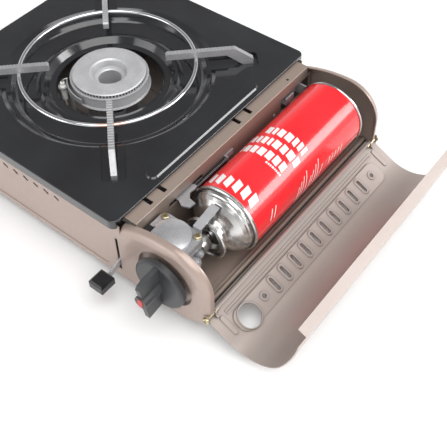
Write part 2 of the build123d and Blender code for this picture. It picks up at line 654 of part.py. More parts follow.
def make_burner_head():
    """The cast bowl under the cap, with the mixing tube's inlet."""
    head = turned_z([
        (THROAT_R, HEAD_BOTTOM_Z),
        (CAP_R - 10, HEAD_BOTTOM_Z),
        (HEAD_FOOT_R - 6, HEAD_FOOT_Z - 4),
        (HEAD_FOOT_R, HEAD_FOOT_Z),
        (HEAD_FOOT_R - 1.2, HEAD_FOOT_Z + 2),
        (HEAD_RIM_R, CAP_EDGE_Z - 1.6),
        (HEAD_RIM_R + 0.9, CAP_EDGE_Z - 1.2),
        (HEAD_RIM_R + 0.9, CAP_EDGE_Z - 0.4),
        (CAP_R + 0.1, CAP_EDGE_Z - 0.4),
        (CAP_R + 0.1, CAP_EDGE_Z - 2.7),
        (CAP_R - 4, CAP_EDGE_Z - 2.7),
        (CAP_R - 4, HEAD_FOOT_Z),
        (CAP_R - 12, HEAD_BOTTOM_Z + 3),
        (THROAT_R + 3, HEAD_BOTTOM_Z + 3),
        (THROAT_R + 3, CAP_WELL_Z - 3.1),
        (THROAT_R, CAP_WELL_Z - 3.1),
    ])
    return head


def make_mixing_tube():
    """The tube that carries gas and air from the jet up into the head."""
    dx, dy = TUBE_DIR
    route = [
        (JET_X - 6 * dx, JET_Y - 6 * dy, TUBE_Z),
        (TUBE_END_R * dx, TUBE_END_R * dy, TUBE_Z),
        (TUBE_END_R * dx, TUBE_END_R * dy, HEAD_BOTTOM_Z),
    ]
    return pipe(route, TUBE_R, TUBE_WALL)


def make_gas_jet():
    """A brass jet on the end of the gas pipe, pointing into the mixing tube."""
    jet = Cylinder(GAS_PIPE_R + 1.6, 6, align=(Align.CENTER, Align.CENTER, Align.MIN))
    jet += Pos(0, 0, 6) * Cone(GAS_PIPE_R + 0.6, 1.2, 5, align=(Align.CENTER, Align.CENTER, Align.MIN))
    jet -= Cylinder(0.5, 40)
    jet -= Cylinder(GAS_PIPE_R, 6)
    dx, dy = TUBE_DIR
    start = Vector(JET_X + 10 * dx, JET_Y + 10 * dy, TUBE_Z)
    return Plane(origin=start, z_dir=(-dx, -dy, 0)) * jet


def make_gas_pipe():
    dx, dy = TUBE_DIR
    reach = (GOV_LEFT + 3) / dx
    first = hypot(JET_X, JET_Y) + 7.0
    return pipe([(first * dx, first * dy, TUBE_Z), (reach * dx, reach * dy, TUBE_Z)], GAS_PIPE_R)


def make_burner_bracket():
    """A folded strip that holds the head above the tray."""
    half = BRACKET_WIDTH / 2
    strip = block(-half, half, -BRACKET_LEG_Y, BRACKET_LEG_Y, HEAD_BOTTOM_Z - BRACKET_SHEET, HEAD_BOTTOM_Z)
    window_x = half - BRACKET_RAIL
    strip -= block(-window_x, window_x, -THROAT_R, THROAT_R, HEAD_BOTTOM_Z - 5, HEAD_BOTTOM_Z + 5)
    for side in (-1, 1):
        y0, y1 = sorted((side * (BRACKET_LEG_Y - BRACKET_SHEET), side * BRACKET_LEG_Y))
        strip += block(-half, half, y0, y1, TRAY_TOP, HEAD_BOTTOM_Z)
        y0, y1 = sorted((side * (BRACKET_LEG_Y - BRACKET_SHEET), side * (BRACKET_FOOT_Y + 8)))
        strip += block(-half, half, y0, y1, TRAY_TOP, TRAY_TOP + BRACKET_SHEET)
        strip -= rod_z(0, side * BRACKET_FOOT_Y, SCREW_R + 0.2, TRAY_TOP - 1, TRAY_TOP + 5)
    return strip


def make_burner_screws():
    screws = []
    for side in (-1, 1):
        screw = screw_head(3.4, 2.2) + Pos(0, 0, -3) * Cylinder(SCREW_R, 6)
        screws.append(Pos(0, side * BRACKET_FOOT_Y, TRAY_TOP + BRACKET_SHEET) * screw)
    return Compound(children=screws)


# ---------------------------------------------------------------- ignition
ELECTRODE_XY = (
    ELECTRODE_R * cos(radians(ELECTRODE_ANGLE)),
    ELECTRODE_R * sin(radians(ELECTRODE_ANGLE)),
)
CERAMIC_BOTTOM = 64.0
CERAMIC_TOP = 83.5
LEAD_ROUTE = [
    (BAY_WALL_X + STACK_GAP, -114.0, 69.5),
    (112.0, -114.0, 69.5),
    (68.0, -90.0, 62.0),
    (18.0, -72.0, 52.0),
    (-20.0, -60.0, 46.0),
    (ELECTRODE_XY[0], ELECTRODE_XY[1], 50.0),
    (ELECTRODE_XY[0], ELECTRODE_XY[1], CERAMIC_BOTTOM),
]


def make_electrode_bracket():
    """A curved strip beside the head that carries the electrode."""
    inner = HEAD_FOOT_R + 1.2
    ring = turned_z([(inner, 77), (inner + 1.2, 77), (inner + 1.2, 83), (inner, 83)])
    wedge = Rot(0, 0, 225) * block(0, 90, -3, 30, 60, 100)
    strip = ring & (wedge)
    x, y = ELECTRODE_XY
    collar = rod_z(x, y, CERAMIC_R + 1.6, 77, 79) - rod_z(x, y, CERAMIC_R, 70, 90)
    leg = Rot(0, 0, ELECTRODE_ANGLE + 20) * block(inner, inner + 1.2, -3, 3, 55, 83)
    return strip + collar + leg


def make_electrode_ceramic():
    x, y = ELECTRODE_XY
    profile = [
        (0.7, CERAMIC_BOTTOM), (CERAMIC_R, CERAMIC_BOTTOM), (CERAMIC_R, CERAMIC_TOP - 4),
        (CERAMIC_R - 0.8, CERAMIC_TOP - 3), (CERAMIC_R - 0.8, CERAMIC_TOP), (0.7, CERAMIC_TOP),
    ]
    return Pos(x, y, 0) * turned_z(profile)


def make_electrode():
    x, y = ELECTRODE_XY
    a = radians(ELECTRODE_ANGLE)
    tip = HEAD_RIM_R + 2.4
    route = [
        (x, y, CERAMIC_BOTTOM + 2),
        (x, y, CERAMIC_TOP + 3),
        (tip * cos(a), tip * sin(a), CAP_EDGE_Z + 1.4),
    ]
    return pipe(route, 0.7)


def make_piezo():
    """The spark unit beside the governor, turned by the knob."""
    body = block(BAY_WALL_X + STACK_GAP, 151.4, -124.0, -109.0, 52.0, 74.8)
    return fillet(body.edges().filter_by(Axis.Z), 1.5)


# ---------------------------------------------------------------- governor
def gov_outline(x_size, y_size, radius, height):
    return Pos(GOV_X, GOV_Y, 0) * extrude(RectangleRounded(x_size, y_size, radius), amount=height)


def piezo_space():
    return block(BAY_WALL_X - 5, 151.4 + STACK_GAP, -140, -109.0 + STACK_GAP, 40, 90)


def gov_screw_points():
    dx = GOV_PLATE_X / 2 - GOV_SCREW_INSET
    dy = GOV_PLATE_Y / 2 - GOV_SCREW_INSET
    return [(GOV_X + dx, GOV_Y + dy), (GOV_X - dx, GOV_Y + dy), (GOV_X + dx, GOV_Y - dy)]


def make_governor_body():
    """The die-cast pressure regulator with pockets for spindle, socket and diaphragm."""
    gasket_z = GOV_PLATE_Z - 0.6
    body = Pos(0, 0, 30) * gov_outline(GOV_PLATE_X - 5, GOV_PLATE_Y - 3, 4, gasket_z - 30)
    body += Pos(0, 0, gasket_z - 5) * gov_outline(GOV_PLATE_X, GOV_PLATE_Y, 6, 5)
    body -= piezo_space()
    body -= rod_z(GOV_X, GOV_Y, DOME_R - 3, gasket_z - 4, gasket_z + 1)
    body -= rod_y(KNOB_X, KNOB_Z, SPINDLE_R + RUNNING, GOV_FRONT - 1, GOV_FRONT + 20)
    body -= rod_y(CAN_X, CAN_Z, SOCKET_NECK_R, GOV_BODY_BACK - SOCKET_NECK, GOV_BACK + 1)
    for x, y in gov_screw_points():
        body -= rod_z(x, y, GOV_SCREW_R, gasket_z - 8, gasket_z + 1)
    dx, dy = TUBE_DIR
    reach = (GOV_LEFT + 3) / dx
    body -= pipe([((reach - 12) * dx, (reach - 12) * dy, TUBE_Z), (reach * dx, reach * dy, TUBE_Z)], GAS_PIPE_R)
    return body


def make_diaphragm():
    sheet = Pos(0, 0, GOV_PLATE_Z - 0.6) * gov_outline(GOV_PLATE_X, GOV_PLATE_Y, 6, 0.6)
    sheet -= piezo_space()
    for x, y in gov_screw_points():
        sheet -= rod_z(x, y, GOV_SCREW_R, 60, 90)
    return sheet


def make_governor_cap():
    """The square cap with its shallow dome and the spring space beneath."""
    cap = Pos(0, 0, GOV_PLATE_Z) * gov_outline(GOV_PLATE_X, GOV_PLATE_Y, 6, GOV_PLATE_THICK)
    sphere_r = (DOME_R ** 2 + DOME_RISE ** 2) / (2 * DOME_RISE)
    ball = Pos(GOV_X, GOV_Y, GOV_TOP + DOME_WALL + DOME_RISE - sphere_r) * Sphere(sphere_r)
    cap += rod_z(GOV_X, GOV_Y, DOME_R, GOV_PLATE_Z, GOV_TOP + DOME_WALL)
    cap += ball & rod_z(GOV_X, GOV_Y, DOME_R, GOV_TOP, GOV_TOP + 20)
    cap -= rod_z(GOV_X, GOV_Y, DOME_R - 6, GOV_PLATE_Z - 1, GOV_TOP + 1.0)
    cap -= piezo_space()
    for x, y in gov_screw_points():
        cap -= rod_z(x, y, GOV_SCREW_R, 60, 90)
    return cap


def make_governor_spring():
    wire = Helix(pitch=1.8, height=3.4, radius=4.5)
    coil = sweep(Plane(origin=wire @ 0, z_dir=wire % 0) * Circle(0.4), path=wire)
    return Pos(GOV_X, GOV_Y, GOV_PLATE_Z + 0.5) * coil


def make_governor_screws():
    screws = []
    for x, y in gov_screw_points():
        screw = screw_head(3.3, 1.8) + Pos(0, 0, -4) * Cylinder(GOV_SCREW_R, 8)
        screws.append(Pos(x, y, GOV_TOP) * screw)
    return Compound(children=screws)


def make_side_plugs():
    """Two turned plugs in the governor's right side."""
    x0 = GOV_RIGHT - 2.5
    first = rod_x(GOV_Y + 3, 56, 4.6, x0, x0 + 5) + rod_x(GOV_Y + 3, 56, 3.0, x0 + 5, x0 + 7)
    second = rod_x(GOV_BODY_BACK - 6.6, 60.5, 3.6, x0, x0 + 4) + rod_x(GOV_BODY_BACK - 6.6, 60.5, 2.2, x0 + 4, x0 + 5.5)
    return Compound(children=[first, second])


def make_gas_socket():
    ring = rod_y(CAN_X, CAN_Z, SOCKET_NECK_R, GOV_BODY_BACK - SOCKET_NECK, GOV_BODY_BACK)
    ring += rod_y(CAN_X, CAN_Z, SOCKET_R, GOV_BODY_BACK, SOCKET_FRONT)
    return ring - rod_y(CAN_X, CAN_Z, SOCKET_BORE_R, GOV_BODY_BACK - 1, SOCKET_FRONT + 1)


def make_socket_seal():
    seal = rod_y(CAN_X, CAN_Z, SOCKET_BORE_R, SOCKET_FRONT - 3.4, SOCKET_FRONT - 0.6)
    return seal - rod_y(CAN_X, CAN_Z, SEAL_BORE_R, SOCKET_FRONT - 10, SOCKET_FRONT + 5)


def make_guide_strip():
    """The flat finger that lines up with the notch in the cartridge's collar."""
    t = 1.2
    front = GOV_BACK + 0.1
    line = [
        (front, 64.7), (front, 79.0), (-66.0, 84.0), (-65.6, 84.0 - t),
        (front + t, 79.0 - t), (front + t, 64.7),
    ]
    strip = plate_yz(line, CAN_X - 4, CAN_X + 4)
    foot = block(CAN_X - 4, CAN_X + 4, GOV_BODY_BACK, front, 64.7, 66.3)
    return strip + foot


# ---------------------------------------------------------------- knob
def make_spindle():
    return rod_y(KNOB_X, KNOB_Z, SPINDLE_R, KNOB_FACE_Y + 3, GOV_FRONT + 18)


def make_knob_disc():
    back = KNOB_FACE_Y + KNOB_THICK
    disc = turned_y(KNOB_X, KNOB_Z, [
        (back, 0), (back, KNOB_R - 1.2), (back - 1.4, KNOB_R), (KNOB_FACE_Y + 1.8, KNOB_R),
        (KNOB_FACE_Y + 0.4, KNOB_R - 0.9), (KNOB_FACE_Y, KNOB_R - 2.4), (KNOB_FACE_Y, 0),
    ])
    return disc - rod_y(KNOB_X, KNOB_Z, SPINDLE_R, KNOB_FACE_Y + 3, 0)


def grip_corners():
    """Side view of the grip's fin, (y, z): upper front, lower front and the ends on the disc."""
    y = KNOB_FACE_Y
    top = KNOB_Z + KNOB_R - 1.0
    low = KNOB_Z - KNOB_R - 1.4
    return (y - GRIP_RISE - 2.0, top - 5.8), (y - GRIP_RISE + 4.8, low), (y, low + 2.6), (y, top)


def hub_front():
    """The hub's front face, a little proud of the fin's edge at the knob's axis."""
    upper, lower = grip_corners()[:2]
    share = (upper[1] - KNOB_Z) / (upper[1] - lower[1])
    return upper[0] + (lower[0] - upper[0]) * share - HUB_PROUD


def make_knob_indicator():
    """A raised oval insert in the hub's front face."""
    front = hub_front()
    return stadium_xz(KNOB_X, KNOB_Z, INDICATOR_LENGTH, INDICATOR_WIDTH, front - 0.5, front + 1.5, 90)


def make_knob_grip():
    half = GRIP_WIDTH / 2
    upper, lower, foot, top = grip_corners()
    outline = [top, (upper[0] + 7.9, top[1] - 0.6), (upper[0] + 2.5, top[1] - 2.4), upper, lower, foot]
    fin = plate_yz(outline, KNOB_X - half, KNOB_X + half)
    front = hub_front()
    hub = rod_y(KNOB_X, KNOB_Z, HUB_R, front, KNOB_FACE_Y)
    pocket = stadium_xz(KNOB_X, KNOB_Z, INDICATOR_LENGTH, INDICATOR_WIDTH, front - 2, front + 1.5, 90)
    return fin + hub - pocket


# ---------------------------------------------------------------- locking lever
def strip_yz(p, q, width, x0, x1):
    """A flat bar with round ends from p to q, (y, z) points."""
    dy, dz = q[0] - p[0], q[1] - p[1]
    length = hypot(dy, dz)
    ny, nz = -dz / length * width / 2, dy / length * width / 2
    bar = plate_yz(
        [(p[0] + ny, p[1] + nz), (q[0] + ny, q[1] + nz), (q[0] - ny, q[1] - nz), (p[0] - ny, p[1] - nz)],
        x0, x1,
    )
    return bar + rod_x(p[0], p[1], width / 2, x0, x1) + rod_x(q[0], q[1], width / 2, x0, x1)


def make_lever_arm():
    """The bell crank: a bar out through the slot and a short arm with a stud."""
    x0, x1 = LEVER_X - BRACKET_SHEET / 2, LEVER_X + BRACKET_SHEET / 2
    pivot = (LEVER_PIVOT_Y, LEVER_PIVOT_Z)
    reach = 47.5
    angle = radians(LEVER_ANGLE)
    knee = (pivot[0] - reach * cos(angle), pivot[1] - reach * sin(angle))
    end = (LEVER_TIP_BACK - 6, (LEVER_TIP_BOTTOM + LEVER_TIP_TOP) / 2)
    crank = (
        pivot[0] - CRANK_LENGTH * sin(CRANK_HALF_SWING),
        pivot[1] + CRANK_LENGTH * cos(CRANK_HALF_SWING),
    )
    arm = strip_yz(pivot, knee, LEVER_BAR, x0, x1)
    arm += strip_yz(knee, end, LEVER_BAR, x0, x1)
    arm += strip_yz(pivot, crank, LEVER_BAR, x0, x1)
    arm += rod_x(pivot[0], pivot[1], LEVER_BAR / 2 + 2, x0, x1)
    arm += rod_x(crank[0], crank[1], CRANK_PIN_R, x0, CARRIAGE_X + BRACKET_SHEET + 1.0)
    return arm - rod_x(pivot[0], pivot[1], LEVER_PIN_R + RUNNING, x0 - 1, x1 + 1)


def make_lever_tip(arm):
    half = LEVER_TIP_WIDTH / 2
    tip = block(LEVER_X - half, LEVER_X + half, LEVER_TIP_FRONT, LEVER_TIP_BACK, LEVER_TIP_BOTTOM, LEVER_TIP_TOP)
    tip = chamfer(tip.edges().group_by(Axis.Z)[-1], 1.8)
    tip = chamfer(tip.edges().group_by(Axis.Z)[0], 2.6)
    tip = fillet(tip.edges().filter_by(Axis.Z), 1.2)
    return tip - arm


def make_lever_pin():
    x0 = LEVER_X - 6.4
    pin = rod_x(LEVER_PIVOT_Y, LEVER_PIVOT_Z, LEVER_PIN_R, x0, LEVER_X + 2.4)
    return pin + rod_x(LEVER_PIVOT_Y, LEVER_PIVOT_Z, LEVER_PIN_R + 1.3, LEVER_X + 1.2, LEVER_X + 2.4)


def make_lever_bracket():
    """The upright on the tray that holds the lever's pin."""
    x0 = LEVER_X - 6.4
    y0, y1 = LEVER_PIVOT_Y - 10, LEVER_PIVOT_Y + 5
    upright = block(x0, x0 + BRACKET_SHEET, y0, y1, TRAY_TOP, LEVER_PIVOT_Z + 6)
    foot = block(x0 - 14, x0 + BRACKET_SHEET, y0, y1, TRAY_TOP, TRAY_TOP + BRACKET_SHEET)
    hole = rod_x(LEVER_PIVOT_Y, LEVER_PIVOT_Z, LEVER_PIN_R, x0 - 2, x0 + 4)
    return upright + foot - hole


# ---------------------------------------------------------------- carriage
def make_carriage_bar():
    """The sliding bar beside the partition, with its stud and guide slots."""
    x0, x1 = CARRIAGE_X, CARRIAGE_X + BRACKET_SHEET
    crank_y = LEVER_PIVOT_Y - CRANK_LENGTH * sin(CRANK_HALF_SWING)
    low_z = LEVER_PIVOT_Z + CRANK_LENGTH * cos(CRANK_HALF_SWING)
    bar = block(x0, x1, crank_y - 7, 114, CARRIAGE_BOTTOM, CARRIAGE_TOP)
    bar += block(x0, x1, crank_y - 7, crank_y + 7, CARRIAGE_BOTTOM - 6, CARRIAGE_TOP)
    slot_r = CRANK_PIN_R + 0.15
    bar -= block(x0 - 1, x1 + 1, crank_y - slot_r, crank_y + slot_r, low_z - slot_r - 0.4,
                 LEVER_PIVOT_Z + CRANK_LENGTH + slot_r + 0.4)
    for y in GUIDE_PIN_Y:
        low, high = y - CARRIAGE_TRAVEL - GUIDE_PIN_R - 0.2, y + GUIDE_PIN_R + 0.2
        bar -= block(x0 - 1, x1 + 1, low, high, GUIDE_PIN_Z - GUIDE_PIN_R - RUNNING,
                     GUIDE_PIN_Z + GUIDE_PIN_R + RUNNING)
    return bar


def make_guide_pins():
    pins = []
    for y in GUIDE_PIN_Y:
        pin = rod_x(y, GUIDE_PIN_Z, GUIDE_PIN_R, CARRIAGE_X - 0.3, BAY_WALL_X + 0.6)
        pin += rod_x(y, GUIDE_PIN_Z, GUIDE_PIN_R + 1.8, CARRIAGE_X - 1.8, CARRIAGE_X - 0.3)
        pin += rod_x(y, GUIDE_PIN_Z, GUIDE_PIN_R + 1.2, CARRIAGE_X + BRACKET_SHEET + 0.3, WALL_X)
        pins.append(pin)
    return Compound(children=pins)


def make_front_hook():
    """The hook that reaches through the partition beside the collar."""
    x0 = CARRIAGE_X + BRACKET_SHEET
    outline = [
        (x0, -72), (x0, -52), (146.6, -50.2), (147.6, -53.5), (146.8, -60), (150.5, -65.0),
        (158.0, -66.5), (157.0, -73.0), (150.5, -75.6), (145.0, -72.5),
    ]
    hook = plate_xy(outline, HOOK_Z, HOOK_Z + BRACKET_SHEET)
    hook += block(x0, x0 + BRACKET_SHEET, -72, -52, CARRIAGE_BOTTOM + 1, HOOK_Z)
    return hook + block(143.6, 146.6, -51.7, SPRING_FRONT_Y, SPRING_Z - 2.4, HOOK_Z)


def make_rear_pusher():
    """The plate that presses on the cartridge's base."""
    x0 = CARRIAGE_X + BRACKET_SHEET
    y0 = CAN_END_Y + 0.2
    outline = [(x0, 60.5), (x0, 72), (190, 72), (196, 66), (196, 44), (190, 38), (156, 38), (148, 60.5)]
    plate = plate_xz(outline, y0, y0 + BRACKET_SHEET)
    plate += block(x0, x0 + BRACKET_SHEET, 84, y0 + BRACKET_SHEET, 60.5, 66)
    return plate + block(x0, 145.0, 84, 96, 64.4, 66.0) + block(143.4, 145.0, 84, 96, 64.4, 72.0)


def make_spring(length, radius, wire_r, turns):
    wire = Helix(pitch=length / turns, height=length, radius=radius)
    return sweep(Plane(origin=wire @ 0, z_dir=wire % 0) * Circle(wire_r), path=wire)


def make_return_spring():
    length = SPRING_BACK_Y - SPRING_FRONT_Y - 2 * SPRING_WIRE_R - 0.2
    coil = make_spring(length, SPRING_R, SPRING_WIRE_R, 24)
    return Pos(SPRING_X, SPRING_FRONT_Y + SPRING_WIRE_R + 0.1, SPRING_Z) * Rot(-90, 0, 0) * coil


def make_spring_anchor():
    lug = block(BAY_WALL_X, 147.0, SPRING_BACK_Y, SPRING_BACK_Y + 1.4, 65.6, 71.6)
    return lug + block(BAY_WALL_X, BAY_WALL_X + 1.2, SPRING_BACK_Y, SPRING_BACK_Y + 12, 65.6, 71.6)


# ---------------------------------------------------------------- cartridge
def make_can_body():
    tube = rod_y(CAN_X, CAN_Z, CAN_R, CAN_FRONT_Y, CAN_BACK_Y)
    return tube - rod_y(CAN_X, CAN_Z, CAN_R - CAN_WALL, CAN_FRONT_Y - 1, CAN_BACK_Y + 1)


def make_can_dome():
    """The stepped top with its rolled seam."""
    y = CAN_FRONT_Y
    w = CAN_WALL
    outer = [
        (y, SEAM_R - 0.3), (y - 0.8, SEAM_R), (y - SEAM_LENGTH + 0.6, SEAM_R), (y - SEAM_LENGTH, SEAM_R - 0.8),
        (y - SEAM_LENGTH, SEAM_R - 1.8), (y - 1.6, SEAM_R - 2.6), (y - 3.6, 30.8), (y - 5.2, 30.6),
        (y - 6.2, 29.6), (y - 7.6, 29.4), (y - 10.0, 27.4), (y - 13.2, 24.0), (y - 16.4, 19.4),
        (y - 18.0, 16.8), (y - 20.0, NECK_R + 0.2), (COLLAR_Y, NECK_R),
    ]
    inner = [(COLLAR_Y, NECK_R - w), (y - 19.8, NECK_R - w), (y - 16.0, 18.4), (y - 9.6, 26.6), (y - 3.0, 30.0),
             (y - 0.6, CAN_R - w - 0.1), (y, CAN_R - w - 0.1), (y, CAN_R)]
    return turned_y(CAN_X, CAN_Z, outer + inner)


def make_can_base():
    y = CAN_BACK_Y
    outline = [
        (y, SEAM_R - 0.3), (y + 0.8, SEAM_R), (CAN_END_Y - 0.6, SEAM_R), (CAN_END_Y, SEAM_R - 0.7),
        (CAN_END_Y, SEAM_R - 1.7), (y - 1.0, SEAM_R - 2.6), (y - 4.0, 20.0), (y - 5.0, 0),
        (y - 5.4, 0), (y - 4.4, 20.2), (y - 1.6, CAN_R - CAN_WALL - 0.1), (y, CAN_R - CAN_WALL - 0.1), (y, CAN_R),
    ]
    return turned_y(CAN_X, CAN_Z, outline)


def make_can_collar():
    """The flange ring with the positioning notch at the top."""
    y0 = COLLAR_Y - COLLAR_THICK
    ring = turned_y(CAN_X, CAN_Z, [
        (COLLAR_Y, NECK_R - 1.0), (COLLAR_Y, COLLAR_R - 0.8), (COLLAR_Y - 0.8, COLLAR_R),
        (y0 + 0.8, COLLAR_R), (y0, COLLAR_R - 0.8), (y0, COLLAR_R - 2.4), (y0 + 2.2, COLLAR_R - 3.0),
        (y0 + 2.2, NECK_R - 1.0),
    ])
    return ring - block(CAN_X - 3.6, CAN_X + 3.6, y0 - 1, COLLAR_Y + 1, CAN_Z + COLLAR_R - 3.2, CAN_Z + COLLAR_R + 2)


def make_can_valve():
    """The mounting cup and stem."""
    rim = NECK_R - 1.05
    cup = turned_y(CAN_X, CAN_Z, [
        (COLLAR_Y - 0.2, rim), (COLLAR_Y - 1.0, rim - 0.6), (COLLAR_Y - 1.0, rim - 1.6), (COLLAR_Y + 4.0, rim - 2.4),
        (COLLAR_Y + 4.4, 6.5), (COLLAR_Y + 1.0, 5.0), (COLLAR_Y + 0.6, STEM_R), (STEM_TIP_Y, STEM_R),
        (STEM_TIP_Y, 0.8), (COLLAR_Y + 5.0, 0.8), (COLLAR_Y + 5.0, 7.0), (COLLAR_Y + 4.8, rim),
    ])
    return cup


# ---------------------------------------------------------------- cover
def make_cover_closed():
    """The curved lid as it sits when closed: rolled edge at the hinge, large
    rounding, gentle top and a hem turned down inside the partition."""
    low = HINGE_Z
    top_left = COVER_LEFT_X
    shell = hump_band(COVER_GAP + SHEET, COVER_GAP, top_left, low, -COVER_END, COVER_END)
    lip_top = HUMP_Z - TOP_ARC_R + ((TOP_ARC_R + COVER_GAP + SHEET) ** 2 - (HUMP_X - top_left) ** 2) ** 0.5
    hem_back = RIM_IN - STACK_GAP - 0.5
    shell += block(top_left, top_left + SHEET, -COVER_END + HEM_FRONT, hem_back, lip_top - HEM, lip_top - 0.1)
    curl = rod_y(HINGE_X, HINGE_Z, CURL_R, -CURL_HALF, CURL_HALF)
    curl -= rod_y(HINGE_X, HINGE_Z, CURL_R - SHEET, -CURL_HALF - 1, CURL_HALF + 1)
    open_part = block(HINGE_X - 6, HINGE_X + CURL_R - SHEET, -CURL_HALF - 1, CURL_HALF + 1, HINGE_Z, HINGE_Z + 6)
    shell += curl - open_part
    x_in = SIDE_X + COVER_GAP
    for rib in cover_pressings(x_in):
        shell += rib
    shell -= cover_field(x_in + SHEET, 0)
    x0, x1 = x_in - 6, x_in + 6
    for k in range(SLOT_COUNT):
        y = SLOT_FIRST_Y + k * SLOT_PITCH
        middle = SLOT_LOW_Z + SLOT_LENGTH / 2
        slot = extrude(SlotOverall(SLOT_LENGTH, SLOT_WIDTH), amount=12)
        shell -= Pos(x0, y, middle) * Rot(0, 90, 0) * slot
    for y in SMALL_HOLE_Y:
        shell -= rod_x(y, SMALL_HOLE_Z, SMALL_HOLE_R, x0, x1)
    return shell - rod_x(COVER_HOLE_Y, COVER_HOLE_Z, COVER_HOLE_R, x0, x1)


def cover_field(x, grow):
    """The long field round slots and holes, pressed inwards from x."""
    middle_y = (COVER_FIELD_Y0 + COVER_FIELD_Y1) / 2
    middle_z = (COVER_FIELD_Z0 + COVER_FIELD_Z1) / 2
    height = COVER_FIELD_Z1 - COVER_FIELD_Z0 + 2 * grow
    length = COVER_FIELD_Y1 - COVER_FIELD_Y0 + 2 * grow
    slab = extrude(RectangleRounded(height, length, COVER_FIELD_R + grow), amount=COVER_FIELD_DEPTH, taper=30)
    return Pos(x, middle_y, middle_z) * Rot(0, -90, 0) * slab


def cover_pressings(x_in):
    """Ribs pressed inwards: a field round the slots and holes, their rims, two
    long ribs by the hinge and one across each end."""
    x_field = x_in - COVER_FIELD_DEPTH
    ribs = [cover_field(x_in, SHEET)]
    for k in range(SLOT_COUNT):
        y = SLOT_FIRST_Y + k * SLOT_PITCH
        rim = extrude(SlotOverall(SLOT_LENGTH + 4.6, SLOT_WIDTH + 4.6), amount=1.0, taper=40)
        ribs.append(Pos(x_field, y, SLOT_LOW_Z + SLOT_LENGTH / 2) * Rot(0, -90, 0) * rim)
    for y in SMALL_HOLE_Y:
        rim = extrude(Circle(SMALL_HOLE_R + 2.2), amount=0.8, taper=35)
        ribs.append(Pos(x_field, y, SMALL_HOLE_Z) * Rot(0, -90, 0) * rim)
    rim = extrude(Circle(COVER_HOLE_R + 1.8), amount=COVER_FIELD_DEPTH + 0.8, taper=25)
    ribs.append(Pos(x_in, COVER_HOLE_Y, COVER_HOLE_Z) * Rot(0, -90, 0) * rim)
    for z in (36.2, 39.0):
        rib = extrude(SlotOverall(2 * CURL_HALF - 14, 1.6), amount=0.7, taper=20)
        ribs.append(Pos(x_in, 0, z) * Rot(0, -90, 0) * Rot(0, 0, 90) * rib)
    for y in (-COVER_END + 10.5, COVER_END - 10.5):
        rib = extrude(SlotOverall(20, 5), amount=1.0, taper=30)
        ribs.append(Pos(x_in, y, 46) * Rot(0, -90, 0) * rib)
    return ribs


def make_cover_ears():
    """The two hinge ears, welded inside the ends of the rolled edge."""
    ears = []
    for side in (-1, 1):
        y0, y1 = sorted((side * (CURL_HALF + 0.02), side * (CURL_HALF + 1.6)))
        ear = rod_y(HINGE_X, HINGE_Z, SIDE_X + COVER_GAP - HINGE_X, y0, y1)
        ear += block(HINGE_X, SIDE_X + COVER_GAP, y0, y1, HINGE_Z, HINGE_Z + 5)
        ear -= rod_y(HINGE_X, HINGE_Z, HINGE_PIN_R + RUNNING, -200, 200)
        ears.append(ear)
    return Compound(children=ears)


def make_hinge_screws():
    screws = []
    length = PANEL_Y - CURL_HALF + 4
    head = screw_head(3.4, 2.2) + Pos(0, 0, -length / 2) * Cylinder(HINGE_PIN_R, length)
    screws.append(Pos(HINGE_X, -PANEL_Y, HINGE_Z) * Rot(90, 0, 0) * head)
    screws.append(Pos(HINGE_X, PANEL_Y, HINGE_Z) * Rot(-90, 0, 0) * head)
    return Compound(children=screws)


def opened(shape):
    """Turn a closed cover piece to the open position."""
    turn = Pos(HINGE_X, 0, HINGE_Z) * Rot(0, OPEN_ANGLE, 0) * Pos(-HINGE_X, 0, -HINGE_Z)
    return turn * shape


# ---------------------------------------------------------------- assembly
def build():
    ring = make_pan_ring()
    arm = make_lever_arm()
    nodes = {
        "base_tray": make_base_tray(),
        "front_panel": make_front_panel(),
        "rear_panel": make_rear_panel(),
        "left_panel": make_left_panel(),
        "partition_wall": make_partition(),
        "bay_floor": make_bay_floor(),
        "side_sill": make_side_sill(),
        "rubber_feet": make_feet(),
        "top_plate": make_top_plate(),
        "burner_cap": make_burner_cap(),
        "burner_head": make_burner_head(),
        "burner_bracket": make_burner_bracket(),
        "burner_screws": make_burner_screws(),
        "mixing_tube": make_mixing_tube(),
        "gas_jet": make_gas_jet(),
        "gas_pipe": make_gas_pipe(),
        "electrode_bracket": make_electrode_bracket(),
        "electrode_ceramic": make_electrode_ceramic(),
        "ignition_electrode": make_electrode(),
        "ignition_lead": pipe(LEAD_ROUTE, LEAD_R),
        "piezo_igniter": make_piezo(),
        "governor_body": make_governor_body(),
        "governor_diaphragm": make_diaphragm(),
        "governor_cap": make_governor_cap(),
        "governor_spring": make_governor_spring(),
        "governor_screws": make_governor_screws(),
        "governor_side_plugs": make_side_plugs(),
        "gas_socket": make_gas_socket(),
        "socket_seal": make_socket_seal(),
        "guide_strip": make_guide_strip(),
        "valve_spindle": make_spindle(),
        "knob_disc": make_knob_disc(),
        "knob_grip": make_knob_grip(),
        "knob_indicator": make_knob_indicator(),
        "lever_arm": arm,
        "lever_tip": make_lever_tip(arm),
        "lever_pin": make_lever_pin(),
        "lever_bracket": make_lever_bracket(),
        "carriage_bar": make_carriage_bar(),
        "guide_pins": make_guide_pins(),
        "front_hook": make_front_hook(),
        "rear_pusher": make_rear_pusher(),
        "return_spring": make_return_spring(),
        "spring_anchor": make_spring_anchor(),
        "can_body": make_can_body(),
        "can_dome": make_can_dome(),
        "can_base": make_can_base(),
        "can_collar": make_can_collar(),
        "can_valve": make_can_valve(),
        "cover_shell": opened(make_cover_closed()),
        "cover_ears": opened(make_cover_ears()),
        "hinge_screws": make_hinge_screws(),
        "pan_ring": ring,
    }
    for k in range(4):
        nodes[f"pan_arm_{k + 1}"] = make_pan_arm(45 + 90 * k, ring)
    return nodes


